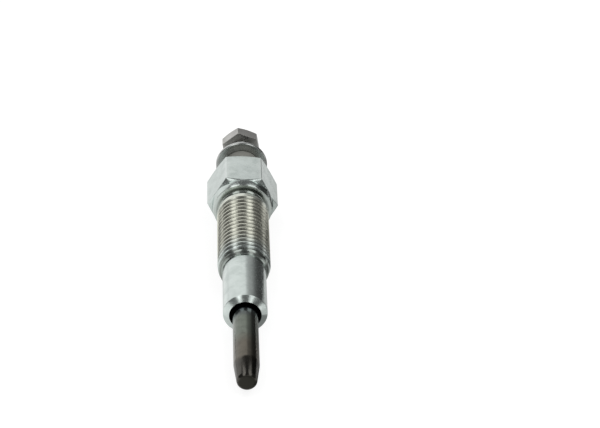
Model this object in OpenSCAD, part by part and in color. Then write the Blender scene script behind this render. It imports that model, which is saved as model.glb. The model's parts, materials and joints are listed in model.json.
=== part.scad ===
// Diesel glow plug: a sheathed metal heater pressed into a turned housing with a hexagon and an M10 thread.
// Lengths are in millimetres. Every piece is drawn upright with the heater tip on z = 0, and lay() puts it
// down as the loose plug comes to rest: on the front edge of one hexagon flat and the first turn of the thread.

/* [Heater] */
// Outside diameter of the heater sheath
sheath_d = 4.7; // [4.4:0.1:5.2]
// Wall of the heater sheath
sheath_wall = 0.55; // [0.45:0.05:0.65]
// Diameter of the flat end of the heater tip
tip_d = 3.6; // [3.4:0.1:4.2]
// Rounding of the edge of the flat end
tip_edge_r = 0.7; // [0.2:0.05:0.9]
// Length of the swaged taper at the tip
taper_l = 5.2; // [3.5:0.1:7]
// Thickness of the closed tip
tip_wall = 1.2; // [0.8:0.1:1.6]
// Length of the heater that stands out of the housing
heater_reach = 20.9; // [17:0.1:26]
// Length of the sheath inside the housing
sheath_grip = 22; // [18:0.5:26]
// Length of the seal in the open end of the sheath
seal_l = 2.5; // [1.5:0.1:4]

/* [Coils] */
// Diameter of the coil wire
wire_d = 0.4; // [0.3:0.05:0.5]
// Diameter of the coils at the middle of the wire
coil_d = 2; // [1.8:0.05:2.1]
// Length of the straight lead at each end of the coils
lead_wire_l = 1.6; // [1.2:0.1:2.4]
// Turns of the heating coil
heating_turns = 9; // [6:0.5:11]
// Rise of one turn of the heating coil
heating_pitch = 0.75; // [0.6:0.05:0.9]
// Turns of the control coil
control_turns = 12; // [8:0.5:14]
// Rise of one turn of the control coil
control_pitch = 0.9; // [0.7:0.05:1.1]

/* [Nose] */
// Outside diameter of the smooth nose
nose_d = 8.2; // [7.8:0.1:8.6]
// Length of the nose from its mouth to the start of the thread lead
nose_l = 14.4; // [10:0.1:20]
// Diameter of the open mouth round the heater
mouth_d = 5.8; // [5.4:0.1:6.2]
// Depth of the open mouth
mouth_depth = 8; // [5:0.5:12]
// Chamfer on the rim of the mouth
mouth_chamfer = 0.15; // [0.05:0.05:0.3]
// Full angle of the conical sealing seat
seat_angle = 120; // [90:1:130]

/* [Thread] */
// Major diameter of the housing thread
thread_d = 10; // [9.6:0.1:10.4]
// Length of the full thread
thread_l = 18.4; // [14:0.1:24]
// Diameter of the front of the thread's tapered lead
lead_d = 9.2; // [8.8:0.1:9.4]
// Length of the tapered lead in front of the thread
thread_lead_l = 1.7; // [0.8:0.1:2.5]
// Diameter of the relief groove behind the thread
relief_d = 8.5; // [8:0.1:9]
// Width of the relief groove
relief_l = 1.8; // [1:0.1:3]
// Rounding between the relief groove and the collar
relief_r = 0.75; // [0.3:0.05:0.8]

/* [Hexagon] */
// Diameter of the front of the round collar
collar_d = 11.4; // [11:0.1:11.8]
// Diameter of the collar where it meets the hexagon
collar_rear_d = 11.7; // [11.3:0.1:11.8]
// Length of the round collar
collar_l = 1.55; // [0.8:0.05:2.5]
// Hexagon size across its flats
hex_af = 12; // [11.9:0.1:13]
// Length of the hexagon
hex_l = 8.8; // [7.5:0.1:12]
// Diameter of the flat on each end of the hexagon
hex_face_d = 11.8; // [11.2:0.1:11.9]
// Angle of the chamfer on the corners of the hexagon
hex_chamfer = 20; // [15:1:35]
// Diameter of the round boss behind the hexagon
boss_d = 9; // [8.4:0.1:9.4]
// Length of the boss
boss_l = 2.2; // [1:0.1:2.4]

/* [Centre rod] */
// Diameter of the rod where it enters the sheath
pin_d = 2.4; // [2.2:0.1:2.6]
// Diameter of the rod between the sheath and the terminal
shank_d = 3.5; // [3:0.1:3.8]
// Major diameter of the terminal stud
stud_d = 4; // [3.8:0.1:4.1]
// Length of the stud that stands past the nut
stud_end_l = 2.5; // [1.5:0.1:2.8]
// Chamfer on the end of the stud
stud_chamfer = 0.5; // [0.2:0.05:0.6]

/* [Terminal] */
// Diameter of the head of the insulating bush
bush_d = 7; // [6.8:0.1:8]
// Height of the head of the bush
bush_l = 4.1; // [2.5:0.1:6]
// Rounding of the rear edge of the bush
bush_edge_r = 0.25; // [0.15:0.05:0.5]
// Diameter of the spigot of the bush inside the housing
spigot_d = 6.2; // [5.9:0.1:6.5]
// Length of the spigot
spigot_l = 3.5; // [2.5:0.1:4.5]
// Diameter of the terminal washer
washer_d = 10.2; // [9:0.1:11]
// Thickness of the terminal washer
washer_t = 0.8; // [0.6:0.05:1.2]
// Rounding of the rim of the washer
washer_edge_r = 0.2; // [0.1:0.05:0.28]
// Space on the stud between the washer and the nut
terminal_gap = 5.1; // [3:0.1:6]
// Nut size across its flats
nut_af = 7; // [6.8:0.1:8]
// Height of the nut
nut_t = 2.7; // [2.4:0.1:3.6]
// Diameter of the flat on the rear end of the nut
nut_face_d = 6.3; // [6:0.1:6.7]
// Angle of the chamfer on the rear corners of the nut
nut_chamfer = 30; // [15:1:35]
// Turn of the nut about the axis, in degrees
nut_turn = 18; // [0:1:59]

/* [Fits] */
// Gap on each side between pieces that are pressed together
press_gap = 0.01; // [0.005:0.005:0.02]
// Gap on each side round the stud in the bush and the nut
stud_gap = 0.04; // [0.02:0.01:0.08]
// Gap on each side round the stud in the washer
washer_gap = 0.15; // [0.1:0.05:0.25]
// Gap between the coil wire and the packed powder
powder_gap = 0.08; // [0.05:0.01:0.12]

/* [Hidden] */
$fn = 96;

// Sides of the coil wire and straight steps in one turn of a coil
wire_sides = 6;
coil_steps = 10;

// Radii of the sheath's cavity, at its tip and along its length
tip_bore_r = tip_d / 2 - sheath_wall;
sheath_bore_r = sheath_d / 2 - sheath_wall;

// Places along the axis, from the tip to the end of the stud
mouth_z = heater_reach;
seat_z = mouth_z + (nose_d - mouth_d) / 2 / tan(seat_angle / 2);
lead_z = mouth_z + nose_l;
thread_z = lead_z + thread_lead_l;
relief_z = thread_z + thread_l;
collar_z = relief_z + relief_l;
hex_z = collar_z + collar_l;
boss_z = hex_z + hex_l;
housing_end_z = boss_z + boss_l;
washer_z = housing_end_z + bush_l;
gap_z = washer_z + washer_t;
nut_z = gap_z + terminal_gap;
stud_end_z = nut_z + nut_t + stud_end_l;

// Places inside the heater
coil_z = tip_wall + lead_wire_l;
joint_z = coil_z + heating_turns * heating_pitch;
coil_end_z = joint_z + control_turns * control_pitch;
pin_z = coil_end_z + lead_wire_l / 2;
sheath_end_z = mouth_z + sheath_grip;
seal_z = sheath_end_z - seal_l;

// Places inside the housing: the counterbore holds the ring and the spigot of the bush
counterbore_r = spigot_d / 2 + press_gap;
ring_section_r = (counterbore_r - stud_d / 2) / 2 - press_gap;
spigot_z = housing_end_z - spigot_l;
counterbore_z = spigot_z - 2 * (ring_section_r + press_gap);
shank_z = sheath_end_z + shank_d / 4;
stud_z = counterbore_z - stud_d / 2;

// Attitude at rest: the line under the plug touches the hexagon's flat and the front of the thread
hex_edge_z = hex_z + (hex_af - hex_face_d) / 2 * tan(hex_chamfer);
rest_tilt = atan((hex_af - thread_d) / 2 / (hex_edge_z - thread_z));
rest_lift = thread_d / 2 * cos(rest_tilt) - thread_z * sin(rest_tilt);
front_y = -(tip_d / 2 - tip_edge_r) * sin(rest_tilt);
rear_y = stud_end_z * cos(rest_tilt) + (stud_d / 2 - stud_chamfer) * sin(rest_tilt);

// Lays an upright piece down with the tip towards -Y, centred on the origin
module lay() {
    translate([0, -(front_y + rear_y) / 2, rest_lift])
        rotate([rest_tilt - 90, 0, 0])
            children();
}

// A solid of revolution from an outline of [radius, height] points
module turned(outline) {
    rotate_extrude() polygon(outline);
}

// Points of a quarter circle of radius r round the centre c, from one angle to the other
function arc(c, r, from, to, steps = 6) = [
    for (i = [0:steps])
        let (a = from + (to - from) * i / steps)
        c + r * [cos(a), sin(a)]
];

// A hexagon bar with its corners cut back to a round face, at the rear end or at both ends
module chamfered_hexagon(across_flats, height, face_d, chamfer, both_ends = true) {
    corner_r = across_flats / sqrt(3);
    drop = (corner_r - face_d / 2) * tan(chamfer);
    front = both_ends ? [[face_d / 2, 0], [corner_r, drop]] : [[corner_r, 0]];
    intersection() {
        cylinder(r = corner_r, h = height, $fn = 6);
        turned(concat([[0, 0]], front, [[corner_r, height - drop], [face_d / 2, height], [0, height]]));
    }
}

// Directions at a turn of a coil: outwards, and along the wire
function outwards(a) = [cos(a), sin(a), 0];
function along(a) = [-sin(a), cos(a), 0];
up = [0, 0, 1];

// Cross-sections of the wire, each a centre with its two axes: on a turn, on a lead, and where they meet
function coil_place(a, z) = coil_d / 2 * outwards(a) + z * up;
function turn_section(a, z) = [coil_place(a, z), outwards(a), up];
function lead_section(a, z) = [coil_place(a, z), outwards(a), -along(a)];
function bend_section(a, z) = [coil_place(a, z), outwards(a), up - along(a)];

// Sections of a helix between two of its turns, without its two ends
function helix_sections(start_turn, turns, z, pitch) =
    let (steps = ceil(turns * coil_steps))
    [
        for (i = [1:steps - 1])
            let (t = turns * i / steps)
            turn_section(360 * (start_turn + t), z + pitch * t)
    ];

// Points round one section of the wire
function section_points(s) = [
    for (i = [0:wire_sides - 1])
        let (a = 360 * i / wire_sides)
        s[0] + wire_d / 2 * (cos(a) * s[1] + sin(a) * s[2])
];

// A wire swept through its sections
module wire(sections) {
    n = wire_sides;
    last = (len(sections) - 1) * n;
    polyhedron(
        points = [for (s = sections) each section_points(s)],
        faces = [
            [for (i = [0:n - 1]) i],
            for (k = [0:len(sections) - 2], i = [0:n - 1])
                let (j = (i + 1) % n)
                each [
                    [k * n + i, (k + 1) * n + i, (k + 1) * n + j],
                    [k * n + i, (k + 1) * n + j, k * n + j]
                ],
            [for (i = [n - 1:-1:0]) last + i]
        ]
    );
}

// Outside of the housing in front of the hexagon, from the mouth to the middle of the hexagon. The lead's shoulder
// and the rear of the thread are steep cones, and the fillet of the groove is never wider than the groove.
module housing_front() {
    shoulder_h = (lead_d - nose_d) / 4;
    relief_rise = (thread_d - relief_d) / 4;
    fillet_r = min(relief_r, 0.9 * (relief_l - relief_rise));
    turned(concat(
        [
            [0, mouth_z], [mouth_d / 2, mouth_z], [nose_d / 2, seat_z], [nose_d / 2, lead_z],
            [lead_d / 2, lead_z + shoulder_h], [thread_d / 2, thread_z], [thread_d / 2, relief_z],
            [relief_d / 2, relief_z + relief_rise]
        ],
        arc([relief_d / 2 + fillet_r, collar_z - fillet_r], fillet_r, 180, 90),
        [
            [collar_d / 2, collar_z], [collar_rear_d / 2, hex_z], [collar_rear_d / 2, hex_z + hex_l / 2],
            [0, hex_z + hex_l / 2]
        ]
    ));
}

// Hollow of the housing: the open mouth, the bore that grips the sheath, and the rear counterbore
module housing_hollow() {
    grip_r = sheath_d / 2 + press_gap;
    turned([
        [0, mouth_z - mouth_chamfer], [mouth_d / 2 + 2 * mouth_chamfer, mouth_z - mouth_chamfer],
        [mouth_d / 2, mouth_z + mouth_chamfer], [mouth_d / 2, mouth_z + mouth_depth],
        [grip_r, mouth_z + mouth_depth + mouth_d / 2 - grip_r], [grip_r, counterbore_z],
        [counterbore_r, counterbore_z], [counterbore_r, housing_end_z + boss_l], [0, housing_end_z + boss_l]
    ]);
}

module housing() {
    color("silver") lay() difference() {
        union() {
            housing_front();
            translate([0, 0, hex_z]) chamfered_hexagon(hex_af, hex_l, hex_face_d, hex_chamfer);
            translate([0, 0, hex_z + hex_l / 2]) cylinder(d = boss_d, h = hex_l / 2 + boss_l);
        }
        housing_hollow();
    }
}

module heater_sheath() {
    edge_centre = [tip_d / 2 - tip_edge_r, tip_edge_r];
    color("dimgray") lay() turned(concat(
        [[0, 0]],
        arc(edge_centre, tip_edge_r, -90, 0),
        [
            [sheath_d / 2, taper_l], [sheath_d / 2, sheath_end_z], [sheath_bore_r, sheath_end_z],
            [sheath_bore_r, taper_l], [tip_bore_r, tip_wall], [0, tip_wall]
        ]
    ));
}

// Packed powder: a cup round the coils, with a core inside them and a hole for the front lead
module insulating_powder() {
    floor_z = tip_wall + press_gap;
    room_z = coil_z - wire_d / 2 - powder_gap;
    room_in_r = (coil_d - wire_d) / 2 - powder_gap;
    room_out_r = (coil_d + wire_d) / 2 + powder_gap;
    pin_r = pin_d / 2 + press_gap;
    color("whitesmoke") lay() difference() {
        turned([
            [0, floor_z], [tip_bore_r - press_gap, floor_z], [sheath_bore_r - press_gap, taper_l],
            [sheath_bore_r - press_gap, seal_z - press_gap], [pin_r, seal_z - press_gap], [pin_r, pin_z - press_gap],
            [room_out_r, pin_z - press_gap], [room_out_r, room_z], [room_in_r, room_z],
            [room_in_r, pin_z - press_gap], [0, pin_z - press_gap]
        ]);
        translate([coil_d / 2, 0, 0]) cylinder(d = wire_d + 2 * powder_gap, h = coil_z);
    }
}

// Heating coil: a lead on the closed tip, then close turns up to the joint with the control coil
module heating_coil() {
    color("peru") lay() wire(concat(
        [lead_section(0, tip_wall + press_gap), bend_section(0, coil_z)],
        helix_sections(0, heating_turns, coil_z, heating_pitch),
        [turn_section(360 * heating_turns, joint_z)]
    ));
}

// Control coil: wider turns from the joint to a lead on the end of the centre rod
module control_coil() {
    end_angle = 360 * (heating_turns + control_turns);
    color("darkgoldenrod") lay() wire(concat(
        [turn_section(360 * heating_turns, joint_z)],
        helix_sections(heating_turns, control_turns, joint_z, control_pitch),
        [bend_section(end_angle, coil_end_z), lead_section(end_angle, pin_z - press_gap)]
    ));
}

// Centre rod: a thin pin in the sheath, a shank through the housing and the terminal stud
module centre_rod() {
    shoulder_h = (shank_d - pin_d) / 2;
    color("lightgray") lay() turned([
        [0, pin_z], [pin_d / 2, pin_z], [pin_d / 2, shank_z], [shank_d / 2, shank_z + shoulder_h],
        [shank_d / 2, stud_z], [stud_d / 2, stud_z + (stud_d - shank_d) / 2],
        [stud_d / 2, stud_end_z - stud_chamfer], [stud_d / 2 - stud_chamfer, stud_end_z], [0, stud_end_z]
    ]);
}

module sheath_seal() {
    color("firebrick") lay() translate([0, 0, seal_z]) difference() {
        cylinder(r = sheath_bore_r - press_gap, h = seal_l);
        translate([0, 0, -seal_l]) cylinder(d = pin_d + 2 * press_gap, h = 3 * seal_l);
    }
}

module o_ring() {
    ring_r = stud_d / 2 + press_gap + ring_section_r;
    color("black") lay() translate([0, 0, counterbore_z + press_gap + ring_section_r])
        rotate_extrude() translate([ring_r, 0]) circle(r = ring_section_r);
}

// Insulating bush: a head on the housing and a spigot in its counterbore, round the stud
module insulating_bush() {
    bore_r = stud_d / 2 + stud_gap;
    edge_centre = [bush_d / 2 - bush_edge_r, washer_z - bush_edge_r];
    color("darkkhaki") lay() turned(concat(
        [
            [bore_r, spigot_z], [spigot_d / 2, spigot_z], [spigot_d / 2, housing_end_z],
            [bush_d / 2, housing_end_z]
        ],
        arc(edge_centre, bush_edge_r, 0, 90),
        [[bore_r, washer_z]]
    ));
}

module terminal_washer() {
    hole_r = stud_d / 2 + washer_gap;
    rim_r = washer_d / 2 - washer_edge_r;
    color("gainsboro") lay() translate([0, 0, washer_z]) turned(concat(
        [[hole_r, 0]],
        arc([rim_r, washer_edge_r], washer_edge_r, -90, 0),
        arc([rim_r, washer_t - washer_edge_r], washer_edge_r, 0, 90),
        [[hole_r, washer_t]]
    ));
}

module terminal_nut() {
    bore_d = stud_d + 2 * stud_gap;
    color("gainsboro") lay() translate([0, 0, nut_z]) rotate([0, 0, nut_turn]) difference() {
        chamfered_hexagon(nut_af, nut_t, nut_face_d, nut_chamfer, both_ends = false);
        translate([0, 0, -nut_t]) cylinder(d = bore_d, h = 3 * nut_t);
    }
}

housing();
heater_sheath();
insulating_powder();
heating_coil();
control_coil();
centre_rod();
sheath_seal();
o_ring();
insulating_bush();
terminal_washer();
terminal_nut();
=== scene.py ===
"""Looks of a diesel glow plug: its turned, threaded and plated pieces on the packed frame, in a studio."""

import contextlib
import functools
import json
import math
from types import SimpleNamespace

import bpy
from mathutils import Matrix, Vector


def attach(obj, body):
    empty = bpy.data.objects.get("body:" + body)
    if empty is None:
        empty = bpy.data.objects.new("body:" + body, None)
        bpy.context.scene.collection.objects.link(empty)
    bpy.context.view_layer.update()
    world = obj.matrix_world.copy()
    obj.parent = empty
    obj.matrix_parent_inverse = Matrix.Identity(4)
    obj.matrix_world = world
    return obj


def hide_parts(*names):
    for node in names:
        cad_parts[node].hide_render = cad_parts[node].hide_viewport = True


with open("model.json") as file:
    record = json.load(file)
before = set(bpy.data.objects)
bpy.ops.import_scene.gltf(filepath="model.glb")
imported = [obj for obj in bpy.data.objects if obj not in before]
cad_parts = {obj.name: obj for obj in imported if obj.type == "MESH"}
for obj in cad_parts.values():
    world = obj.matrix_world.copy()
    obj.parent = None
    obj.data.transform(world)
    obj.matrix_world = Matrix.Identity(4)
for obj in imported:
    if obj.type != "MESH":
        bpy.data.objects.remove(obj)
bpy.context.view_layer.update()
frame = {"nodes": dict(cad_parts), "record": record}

bl_info = {
    "name": "Glow plug",
    "version": (1, 0, 0),
    "blender": (4, 5, 0),
    "location": "3D view > Sidebar > Glow plug",
    "description": "Models the visible pieces of a diesel glow plug, their finishes and a studio round it",
    "category": "Add Mesh",
}

# Units, files and fineness of the meshes
MM = 0.001
TURN_STEPS = 128
THREAD_STEPS = 72
ARC_STEPS = 5
MERGE_DISTANCE = 1e-7
SMOOTH_ANGLE = math.radians(32)
EDGE_ANGLE = math.radians(40)
EDGE_SEGMENTS = 3

# Shape of a rolled thread: its flank angle, and what its parts take of the pitch
FLANK = math.radians(30)
CREST_SHARE = 1 / 6
ROOT_SHARE = 1 / 5
ROOT_ROUNDING = 1 / 12
CUTTER_PROUD = 0.08

# The plug's axis from the heater tip to the terminal, and the turn that lays an upright piece along it
MOUNTS = {mount["name"]: mount for mount in frame["record"]["mounts"]}
THREAD = MOUNTS["housing_thread"]
THREAD_MIDDLE = Vector(THREAD["pos_m"])
AXIS = -Vector(THREAD["axis"]).normalized()
LYING = (math.asin(AXIS.z) - math.pi / 2, 0, 0)


def vertices(node):
    """Places of the vertices of a CAD node."""
    return [vertex.co for vertex in frame["nodes"][node].data.vertices]


TIP = THREAD_MIDDLE + AXIS * min((place - THREAD_MIDDLE).dot(AXIS) for place in vertices("heater_sheath"))


def along(place):
    """How far a place is from the heater tip, along the plug's axis."""
    return (Vector(place) - TIP).dot(AXIS)


def reach(node):
    """Lowest and highest place of a CAD node along the axis, and its largest radius."""
    heights = [along(place) for place in vertices(node)]
    radii = [(place - TIP).cross(AXIS).length for place in vertices(node)]
    return min(heights), max(heights), max(radii)


# Places along the axis and radii that the frame gives
SHEATH_HIGH, SHEATH_R = reach("heater_sheath")[1:]
ROD_LOW, ROD_HIGH, STUD_R = reach("centre_rod")
BUSH_LOW, BUSH_HIGH, BUSH_R = reach("insulating_bush")
WASHER_LOW, WASHER_HIGH, WASHER_R = reach("terminal_washer")
NUT_LOW, NUT_HIGH, NUT_CORNER_R = reach("terminal_nut")
HOUSING_HIGH, HEX_CORNER_R = reach("housing")[1:]
THREAD_R = THREAD["dims"]["r_mm"] * MM
THREAD_L = THREAD["dims"]["length_mm"] * MM
THREAD_LOW = along(THREAD_MIDDLE) - THREAD_L / 2
THREAD_HIGH = THREAD_LOW + THREAD_L
SEAT_HIGH = along(MOUNTS["sealing_seat"]["pos_m"])
HEX_MIDDLE = along(MOUNTS["hexagon_drive"]["pos_m"])


# Properties: sizes, finishes and the stage
def length(name, description, millimetres):
    """A size, given in millimetres and kept in metres."""
    return bpy.props.FloatProperty(
        name=name, description=description, default=millimetres * MM, min=0, unit="LENGTH", precision=5)


def angle(name, description, degrees):
    """An angle, given in degrees and kept in radians."""
    return bpy.props.FloatProperty(
        name=name, description=description, default=math.radians(degrees), subtype="ANGLE")


def colour(name, description, default):
    """A linear colour."""
    return bpy.props.FloatVectorProperty(
        name=name, description=description, default=default, size=3, min=0, max=1, subtype="COLOR")


def factor(name, description, default):
    """A share from 0 to 1."""
    return bpy.props.FloatProperty(
        name=name, description=description, default=default, min=0, max=1, subtype="FACTOR")


class PlugHousing(bpy.types.PropertyGroup):
    """Sizes of the housing"""

    nose_d: length("Nose", "Diameter of the smooth nose", 8.2)
    mouth_d: length("Mouth", "Diameter of the open mouth round the heater", 5.8)
    mouth_depth: length("Mouth depth", "Depth of the open mouth", 8)
    mouth_chamfer: length("Mouth chamfer", "Chamfer on the rim of the mouth", 0.15)
    seat_angle: angle("Seat angle", "Full angle of the conical sealing seat", 120)
    grip_d: length("Grip bore", "Diameter of the bore that grips the heater", 4.72)
    thread_end: angle("Thread end", "Where the last turn ends, past the right side of the plug", 60)
    lead_d: length("Lead front", "Diameter of the front of the thread's tapered lead", 9.2)
    lead_l: length("Thread lead", "Length of the tapered lead in front of the thread", 1.7)
    pitch: length("Thread pitch", "Rise of one turn of the thread", 1.25)
    crest_place: length("Thread crest", "Place on the axis where the last crest passes the top", 54.47)
    relief_d: length("Relief", "Diameter of the relief groove behind the thread", 8.5)
    relief_l: length("Relief width", "Width of the relief groove", 1.8)
    relief_wall: angle("Relief wall", "Slope of the rear wall of the groove, up to the collar", 3)
    relief_fillet: length("Relief rounding", "Rounding at the foot of that wall", 0.45)
    collar_d: length("Collar", "Diameter of the front of the collar", 11.3)
    collar_rear_d: length("Collar rear", "Diameter of the collar where it meets the hexagon", 11.95)
    hex_l: length("Hexagon length", "Length of the hexagon", 8.8)
    hex_face_d: length("Hexagon face", "Diameter of the flat on each end of the hexagon", 11.8)
    hex_chamfer: angle("Hexagon chamfer", "Angle of the chamfer on the corners of the hexagon", 25)
    boss_d: length("Boss", "Diameter of the boss behind the hexagon", 9)
    counterbore_d: length("Counterbore", "Diameter of the rear counterbore", 6.22)
    counterbore_l: length("Counterbore depth", "Depth of the rear counterbore", 4.61)
    edge_r: length("Edges", "Rounding of the outer edges", 0.12)


class PlugHeater(bpy.types.PropertyGroup):
    """Sizes of the heater sheath"""

    tip_d: length("Tip", "Diameter of the flat end of the tip", 3.6)
    tip_edge_r: length("Tip edge", "Rounding of the edge of the tip", 0.81)
    taper_l: length("Taper", "Length of the swaged taper", 5.2)
    taper_r: length("Taper rounding", "Rounding where the taper meets the tube", 6)
    wall: length("Wall", "Wall of the tube", 0.55)
    tip_wall: length("Tip wall", "Thickness of the closed tip", 1.2)


class PlugTerminal(bpy.types.PropertyGroup):
    """Sizes of the centre rod, bush, washer and nut"""

    pin_d: length("Pin", "Diameter of the rod inside the heater", 2.4)
    shank_d: length("Shank", "Diameter of the rod inside the housing", 3.5)
    stud_low: length("Stud start", "Place along the axis where the stud starts", 63.14)
    stud_chamfer: length("Stud chamfer", "Chamfer on the end of the stud", 0.5)
    stud_pitch: length("Stud pitch", "Rise of one turn of the stud's thread", 0.7)
    spigot_d: length("Spigot", "Diameter of the bush inside the housing", 6.2)
    bush_edge_r: length("Bush edge", "Rounding of the rear edge of the bush", 0.25)
    bore_gap: length("Stud gap", "Gap round the stud in the bush and the nut", 0.04)
    washer_gap: length("Washer gap", "Gap round the stud in the washer", 0.15)
    washer_edge_r: length("Washer edge", "Rounding of the rim of the washer", 0.2)
    nut_face_d: length("Nut face", "Diameter of the flat on the rear end of the nut", 6.3)
    nut_chamfer: angle("Nut chamfer", "Angle of the chamfer on the rear corners of the nut", 30)
    nut_turn: angle("Nut turn", "Turn of the nut about the axis", 18)
    nut_sink: length("Nut countersink", "Countersink at each end of the nut's bore", 0.2)
    nut_edge_r: length("Nut edges", "Rounding of the edges of the nut", 0.1)


class PlugFinish(bpy.types.PropertyGroup):
    """Colours of the finishes"""

    zinc: colour("Zinc", "Bright zinc plate", (0.64, 0.70, 0.675))
    zinc_cloud: colour("Zinc clouds", "Duller patches in the zinc plate", (0.50, 0.56, 0.535))
    passivate: colour("Passivate", "Yellowish tint of the plate on the thread", (0.74, 0.73, 0.61))
    # Painted shade for the roots of the threads and for the relief groove
    root_shade_tone: colour("Root shade", "Dark film in the roots of the threads", (0.10, 0.11, 0.09))
    # Painted shade inside the mouth
    mouth_shade: colour("Mouth", "Painted shade inside the mouth", (0.045, 0.035, 0.038))
    nut_plate: colour("Nut plate", "Zinc plate of the nut", (0.50, 0.495, 0.475))
    washer_plate: colour("Washer plate", "Zinc plate of the washer", (0.52, 0.535, 0.52))
    rod_plate: colour("Stud plate", "Zinc plate of the stud", (0.46, 0.465, 0.45))
    resin: colour("Resin", "Moulded resin of the bush", (0.21, 0.21, 0.19))
    heater_blue: colour("Heater blue", "Bluish tint of the heater at the mouth", (0.112, 0.124, 0.142))
    heater_olive: colour("Heater olive", "Olive grey of the heater's middle", (0.17, 0.19, 0.162))
    heater_brown: colour("Heater brown", "Brownish tint above the taper", (0.14, 0.127, 0.104))
    # Painted dark reflection on the taper
    taper_reflection_dark: colour("Taper reflection", "Painted dark reflection on the taper", (0.09, 0.0855, 0.0765))
    heater_end: colour("Heater end", "Flat end of the tip", (0.037, 0.036, 0.03))
    powder: colour("Powder", "Packed oxide powder", (0.78, 0.77, 0.73))
    wire: colour("Wire", "Oxidised resistance wire", (0.20, 0.15, 0.11))
    rubber: colour("Rubber", "Seals", (0.025, 0.025, 0.026))


class PlugStage(bpy.types.PropertyGroup):
    """View and light"""

    azimuth: angle("Azimuth", "Turn of the view to the right of the plug's length", 3.834)
    elevation: angle("Elevation", "How far the view looks down", 29.457)
    roll: angle("Roll", "Turn of the picture", 3.771)
    distance: length("Distance", "From the camera to the plane of the aim", 497.7)
    aim: length("Aim", "Place on the axis that the view is set by", 45)
    aim_pixel: bpy.props.FloatVectorProperty(
        name="Aim pixel", description="Where that place lands in the picture", size=2,
        default=(243.55, 244.04), subtype="COORDINATES")
    lens: bpy.props.FloatProperty(
        name="Lens", description="Focal length on a 36 mm sensor", default=156.9, unit="CAMERA")
    floor: colour("Floor", "Pale paper of the floor", (0.30, 0.30, 0.30))
    floor_glow: factor("Floor white", "Light of the paper itself, as the camera sees it", 0.79)
    floor_right: factor("Floor right", "Share of that light that metal sees on the right of the plug", 0.42)
    floor_rear: factor("Floor rear", "Share of that light that metal sees behind the plug", 0.74)
    hood_tone: factor("Hood", "Tone of the dark hood over the camera's side", 0.13)
    hood_edge: angle("Hood edge", "How high above the floor the hood ends, behind the plug", 45)
    hood_side: angle("Hood sides", "How far to each side the hood is open on the floor, behind the plug", 60)
    # The heater's card is painted shadow on the paper, seen only by metal
    card_tone: factor("Card", "Tone of the dark cards on the floor for the heater", 0.25)
    side_tone: factor("Other cards", "Tone of the dark cards on the floor for the thread and the nose", 0.08)
    lamp_power: bpy.props.FloatProperty(
        name="Lamp power", description="Power of each of the two long lamps", default=1.0, unit="POWER")
    world_light: factor("World", "Strength of the white world", 0.6)


GROUPS = (
    ("plug_housing", PlugHousing),
    ("plug_heater", PlugHeater),
    ("plug_terminal", PlugTerminal),
    ("plug_finish", PlugFinish),
    ("plug_stage", PlugStage),
)


# Outlines of turned pieces
def rounded(corners):
    """Points of an outline through (radius, height, rounding) corners, with an arc at each rounded corner."""
    points = []
    before = corners[-1:] + corners[:-1]
    after = corners[1:] + corners[:1]
    for back, corner, onward in zip(before, corners, after):
        here = Vector(corner[:2])
        rounding = corner[2] if len(corner) > 2 else 0
        if not rounding:
            points.append(here)
            continue
        to_back = (Vector(back[:2]) - here).normalized()
        to_onward = (Vector(onward[:2]) - here).normalized()
        half = to_back.angle(to_onward) / 2
        centre = here + (to_back + to_onward).normalized() * rounding / math.sin(half)
        start = here + to_back * rounding / math.tan(half) - centre
        stop = here + to_onward * rounding / math.tan(half) - centre
        for step in range(ARC_STEPS + 1):
            points.append(centre + start.slerp(stop, step / ARC_STEPS) * rounding)
    return points


# Modelling steps
def activate(piece):
    """Selects one piece and nothing else."""
    bpy.ops.object.select_all(action="DESELECT")
    piece.select_set(True)
    bpy.context.view_layer.objects.active = piece


@contextlib.contextmanager
def editing(piece):
    """Edit mode on one piece, with all of its mesh selected."""
    activate(piece)
    bpy.ops.object.mode_set(mode="EDIT")
    bpy.ops.mesh.select_all(action="SELECT")
    yield
    bpy.ops.object.mode_set(mode="OBJECT")


def new_piece(name):
    """The primitive that was just added, under its name."""
    piece = bpy.context.object
    piece.name = name
    piece.data.name = name
    return piece


def draw(name, points):
    """A chain of edges through (radius, height) points, grown from one vertex."""
    bpy.ops.object.select_all(action="DESELECT")
    bpy.ops.mesh.primitive_plane_add(size=MM)
    piece = new_piece(name)
    with editing(piece):
        bpy.ops.mesh.merge(type="CENTER")
        bpy.ops.transform.translate(value=(points[0].x, 0, points[0].y))
        for here, there in zip(points, points[1:]):
            step = there - here
            bpy.ops.mesh.extrude_region_move(TRANSFORM_OT_translate={"value": (step.x, 0, step.y)})
    return piece


def close_mesh(piece):
    """Merges doubles and turns the faces outwards."""
    with editing(piece):
        bpy.ops.mesh.remove_doubles(threshold=MERGE_DISTANCE)
        bpy.ops.mesh.normals_make_consistent(inside=False)


def turned(name, corners, ring=False):
    """A solid turned from an outline, which closes on itself for a ring and else runs from axis to axis."""
    points = rounded(corners)
    piece = draw(name, points + points[:1] if ring else points)
    with editing(piece):
        bpy.ops.mesh.remove_doubles(threshold=MERGE_DISTANCE)
        bpy.ops.mesh.select_all(action="SELECT")
        bpy.ops.mesh.spin(steps=TURN_STEPS, angle=math.tau, center=(0, 0, 0), axis=(0, 0, 1))
    close_mesh(piece)
    return piece


def apply_modifier(piece, kind, **settings):
    """Adds a modifier to a piece and applies it."""
    activate(piece)
    bpy.ops.object.modifier_add(type=kind)
    modifier = piece.modifiers[-1]
    for name, value in settings.items():
        setattr(modifier, name, value)
    bpy.ops.object.modifier_apply(modifier=modifier.name)


def combine(piece, tool, operation):
    """Joins a piece with a tool shape by a boolean and takes the tool away."""
    apply_modifier(piece, "BOOLEAN", operation=operation, object=tool, solver="EXACT")
    bpy.data.objects.remove(tool)


def thread_root(crest_r, pitch):
    """Root radius of a thread, from what its crests and roots leave of the pitch for its flanks."""
    return crest_r - (1 - CREST_SHARE - ROOT_SHARE) / 2 * pitch / math.tan(FLANK)


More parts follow.
